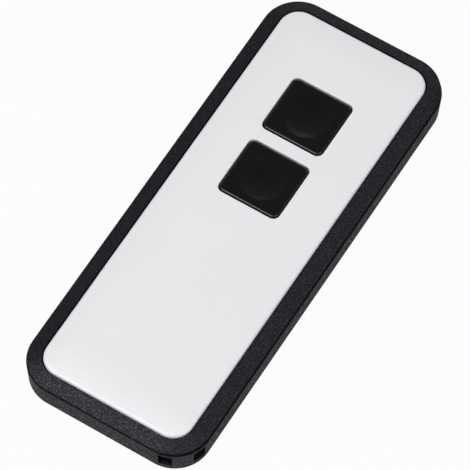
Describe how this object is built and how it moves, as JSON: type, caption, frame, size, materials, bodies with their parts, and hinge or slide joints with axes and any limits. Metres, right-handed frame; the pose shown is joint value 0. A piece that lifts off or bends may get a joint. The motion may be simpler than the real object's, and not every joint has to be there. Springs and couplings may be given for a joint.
{
  "type": "garage door remote",
  "caption": "Slim rounded handheld remote: black two-part case, crowned white face, square dished buttons that press, coin-turned battery cap in the back and a key ring post in one corner.",
  "frame": {"origin": "middle of the flat back", "axes": "+Z out of the white face, +Y along the case towards the buttons, +X towards the side whose lower corner has the key ring slots"},
  "size_m": [0.0384, 0.0966, 0.0088],
  "materials": {
    "shell_plastic": "fine moulded texture",
    "plate_plastic": "satin white",
    "button_plastic": "smooth black",
    "switch_plastic": "moulded",
    "plunger_plastic": "moulded",
    "plated_steel": "plated",
    "spring_steel": "rolled",
    "cell_steel": "brushed",
    "tinned_metal": "tinned",
    "board_laminate": "green solder mask",
    "chip_resin": "moulded resin",
    "capacitor_resin": "moulded resin",
    "ceramic": "fired ceramic",
    "copper_wire": "drawn wire"
  },
  "bodies": {
    "case": {"rear_shell": "shell_plastic", "front_frame": "shell_plastic", "front_plate": "plate_plastic", "upper_switch_base": "switch_plastic", "lower_switch_base": "switch_plastic", "upper_switch_cover": "plated_steel", "lower_switch_cover": "plated_steel", "upper_switch_dome": "spring_steel", "lower_switch_dome": "spring_steel", "switch_terminals": "tinned_metal", "circuit_board": "board_laminate", "controller_chip": "chip_resin", "chip_leads": "tinned_metal", "transmitter_chip": "chip_resin", "crystal_can": "plated_steel", "resonator_can": "plated_steel", "buffer_capacitor": "capacitor_resin", "chip_capacitors": "ceramic", "chip_resistors": "chip_resin", "antenna_wire": "copper_wire", "coin_cell": "cell_steel", "positive_contact": "spring_steel", "negative_contact": "spring_steel", "case_screws": "plated_steel"},
    "upper_button": {"upper_button": "button_plastic"},
    "lower_button": {"lower_button": "button_plastic"},
    "upper_plunger": {"upper_switch_plunger": "plunger_plastic"},
    "lower_plunger": {"lower_switch_plunger": "plunger_plastic"},
    "battery_cap": {"battery_cap": "shell_plastic"}
  },
  "joints": [
    {"name": "upper_button_press", "type": "slide", "parent": "case", "child": "upper_button", "axis": [0, 0, -1], "range_m": [0, 0.00035], "stiffness_N_per_m": 4600},
    {"name": "lower_button_press", "type": "slide", "parent": "case", "child": "lower_button", "axis": [0, 0, -1], "range_m": [0, 0.00035], "stiffness_N_per_m": 4600},
    {"name": "upper_plunger_press", "type": "slide", "parent": "case", "child": "upper_plunger", "axis": [0, 0, -1], "range_m": [0, 0.00035], "deforming": ["upper_switch_dome"]},
    {"name": "lower_plunger_press", "type": "slide", "parent": "case", "child": "lower_plunger", "axis": [0, 0, -1], "range_m": [0, 0.00035], "deforming": ["lower_switch_dome"]},
    {"name": "battery_cap_turn", "type": "hinge", "parent": "case", "child": "battery_cap", "pos_m": [0, -0.02, 0], "axis": [0, 0, -1], "range_deg": [0, 50]}
  ],
  "couplings": [
    {"joint": "upper_plunger_press", "follows": "upper_button_press", "ratio": 1},
    {"joint": "lower_plunger_press", "follows": "lower_button_press", "ratio": 1}
  ]
}
